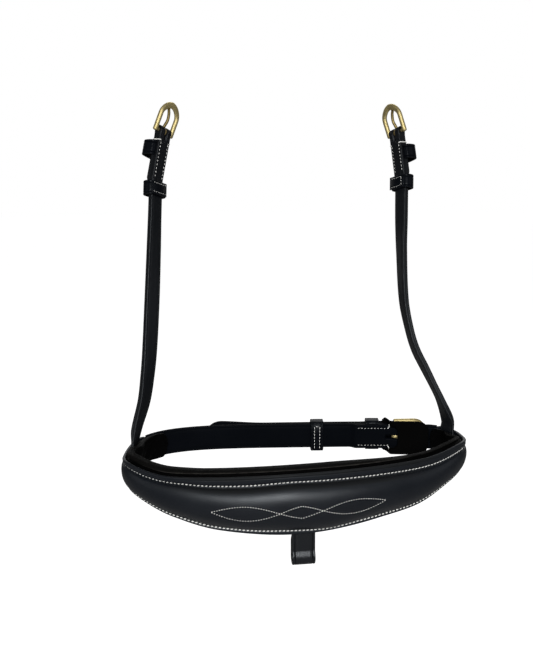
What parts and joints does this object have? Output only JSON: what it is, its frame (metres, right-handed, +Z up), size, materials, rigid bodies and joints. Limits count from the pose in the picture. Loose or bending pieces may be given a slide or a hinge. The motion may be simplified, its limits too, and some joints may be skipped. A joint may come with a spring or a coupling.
{
  "type": "cavesson noseband",
  "caption": "Padded crescent leather noseband with a flash loop, a buckled chin strap and two cheek straps with brass horseshoe buckles",
  "frame": {"origin": "middle of the ring that goes round the nose, level with the middle of the chin strap's width", "axes": "+Z up the face towards the cheek buckles, -Y out of the front, +Y to the chin, +X to the right of someone looking at the front from outside"},
  "size_m": [0.2738, 0.1867, 0.3435],
  "materials": {
    "front_leather": "smooth black bridle leather with white thread",
    "front_filling": "pressed felt, hidden",
    "lining_pad": "soft matte lining leather over padding",
    "buckle_strap": "smooth black bridle leather with white thread",
    "billet_strap": "smooth black bridle leather with white thread",
    "buckle_guard": "smooth black bridle leather with white thread",
    "chin_fixed_keeper": "smooth black bridle leather with white thread",
    "flash_loop": "smooth black bridle leather with white thread",
    "cheek_strap_left": "smooth black bridle leather with white thread",
    "cheek_strap_right": "smooth black bridle leather with white thread",
    "cheek_fixed_keeper_left": "smooth black bridle leather with white thread",
    "cheek_fixed_keeper_right": "smooth black bridle leather with white thread",
    "chin_buckle_frame": "satin polished",
    "chin_buckle_tongue": "satin polished",
    "chin_runner_keeper": "smooth black bridle leather with white thread",
    "cheek_buckle_frame_left": "satin polished",
    "cheek_buckle_tongue_left": "satin polished",
    "cheek_runner_keeper_left": "smooth black bridle leather with white thread",
    "cheek_buckle_frame_right": "satin polished",
    "cheek_buckle_tongue_right": "satin polished",
    "cheek_runner_keeper_right": "smooth black bridle leather with white thread"
  },
  "bodies": {
    "noseband": {"front_leather": "front_leather", "front_filling": "front_filling", "lining_pad": "lining_pad", "buckle_strap": "buckle_strap", "billet_strap": "billet_strap", "buckle_guard": "buckle_guard", "chin_fixed_keeper": "chin_fixed_keeper", "flash_loop": "flash_loop", "cheek_strap_left": "cheek_strap_left", "cheek_strap_right": "cheek_strap_right", "cheek_fixed_keeper_left": "cheek_fixed_keeper_left", "cheek_fixed_keeper_right": "cheek_fixed_keeper_right"},
    "chin_frame": {"chin_buckle_frame": "chin_buckle_frame"},
    "chin_tongue": {"chin_buckle_tongue": "chin_buckle_tongue"},
    "chin_runner": {"chin_runner_keeper": "chin_runner_keeper"},
    "left_cheek_frame": {"cheek_buckle_frame_left": "cheek_buckle_frame_left"},
    "left_cheek_tongue": {"cheek_buckle_tongue_left": "cheek_buckle_tongue_left"},
    "left_cheek_runner": {"cheek_runner_keeper_left": "cheek_runner_keeper_left"},
    "right_cheek_frame": {"cheek_buckle_frame_right": "cheek_buckle_frame_right"},
    "right_cheek_tongue": {"cheek_buckle_tongue_right": "cheek_buckle_tongue_right"},
    "right_cheek_runner": {"cheek_runner_keeper_right": "cheek_runner_keeper_right"}
  },
  "joints": [
    {"name": "chin_frame_lift", "type": "hinge", "parent": "noseband", "child": "chin_frame", "pos_m": [0.08497, 0.04627, 0], "axis": [0, 0, 1], "range_deg": [0, 4]},
    {"name": "chin_tongue_lift", "type": "hinge", "parent": "chin_frame", "child": "chin_tongue", "pos_m": [0.08497, 0.04627, 0], "axis": [0, 0, 1], "range_deg": [0, 4]},
    {"name": "chin_runner_slide", "type": "slide", "parent": "noseband", "child": "chin_runner", "axis": [1, -0.0022, 0], "range_m": [-0.025, 0.018]},
    {"name": "left_buckle_swing", "type": "hinge", "parent": "noseband", "child": "left_cheek_frame", "pos_m": [-0.10546, 0.08129, 0.2519], "axis": [-0.5265, -0.7806, 0.337], "range_deg": [-30, 60]},
    {"name": "left_tongue_lift", "type": "hinge", "parent": "left_cheek_frame", "child": "left_cheek_tongue", "pos_m": [-0.10546, 0.08129, 0.2519], "axis": [-0.5265, -0.7806, 0.337], "range_deg": [0, 62]},
    {"name": "left_runner_slide", "type": "slide", "parent": "noseband", "child": "left_cheek_runner", "axis": [0.029, 0.2923, 0.9559], "range_m": [-0.02, 0]},
    {"name": "right_buckle_swing", "type": "hinge", "parent": "noseband", "child": "right_cheek_frame", "pos_m": [0.09032, 0.10909, 0.24999], "axis": [-0.4911, 0.8174, -0.3012], "range_deg": [-30, 60]},
    {"name": "right_tongue_lift", "type": "hinge", "parent": "right_cheek_frame", "child": "right_cheek_tongue", "pos_m": [0.09032, 0.10909, 0.24999], "axis": [-0.4911, 0.8174, -0.3012], "range_deg": [0, 62]},
    {"name": "right_runner_slide", "type": "slide", "parent": "noseband", "child": "right_cheek_runner", "axis": [0.0339, 0.2922, 0.9558], "range_m": [-0.02, 0]}
  ]
}
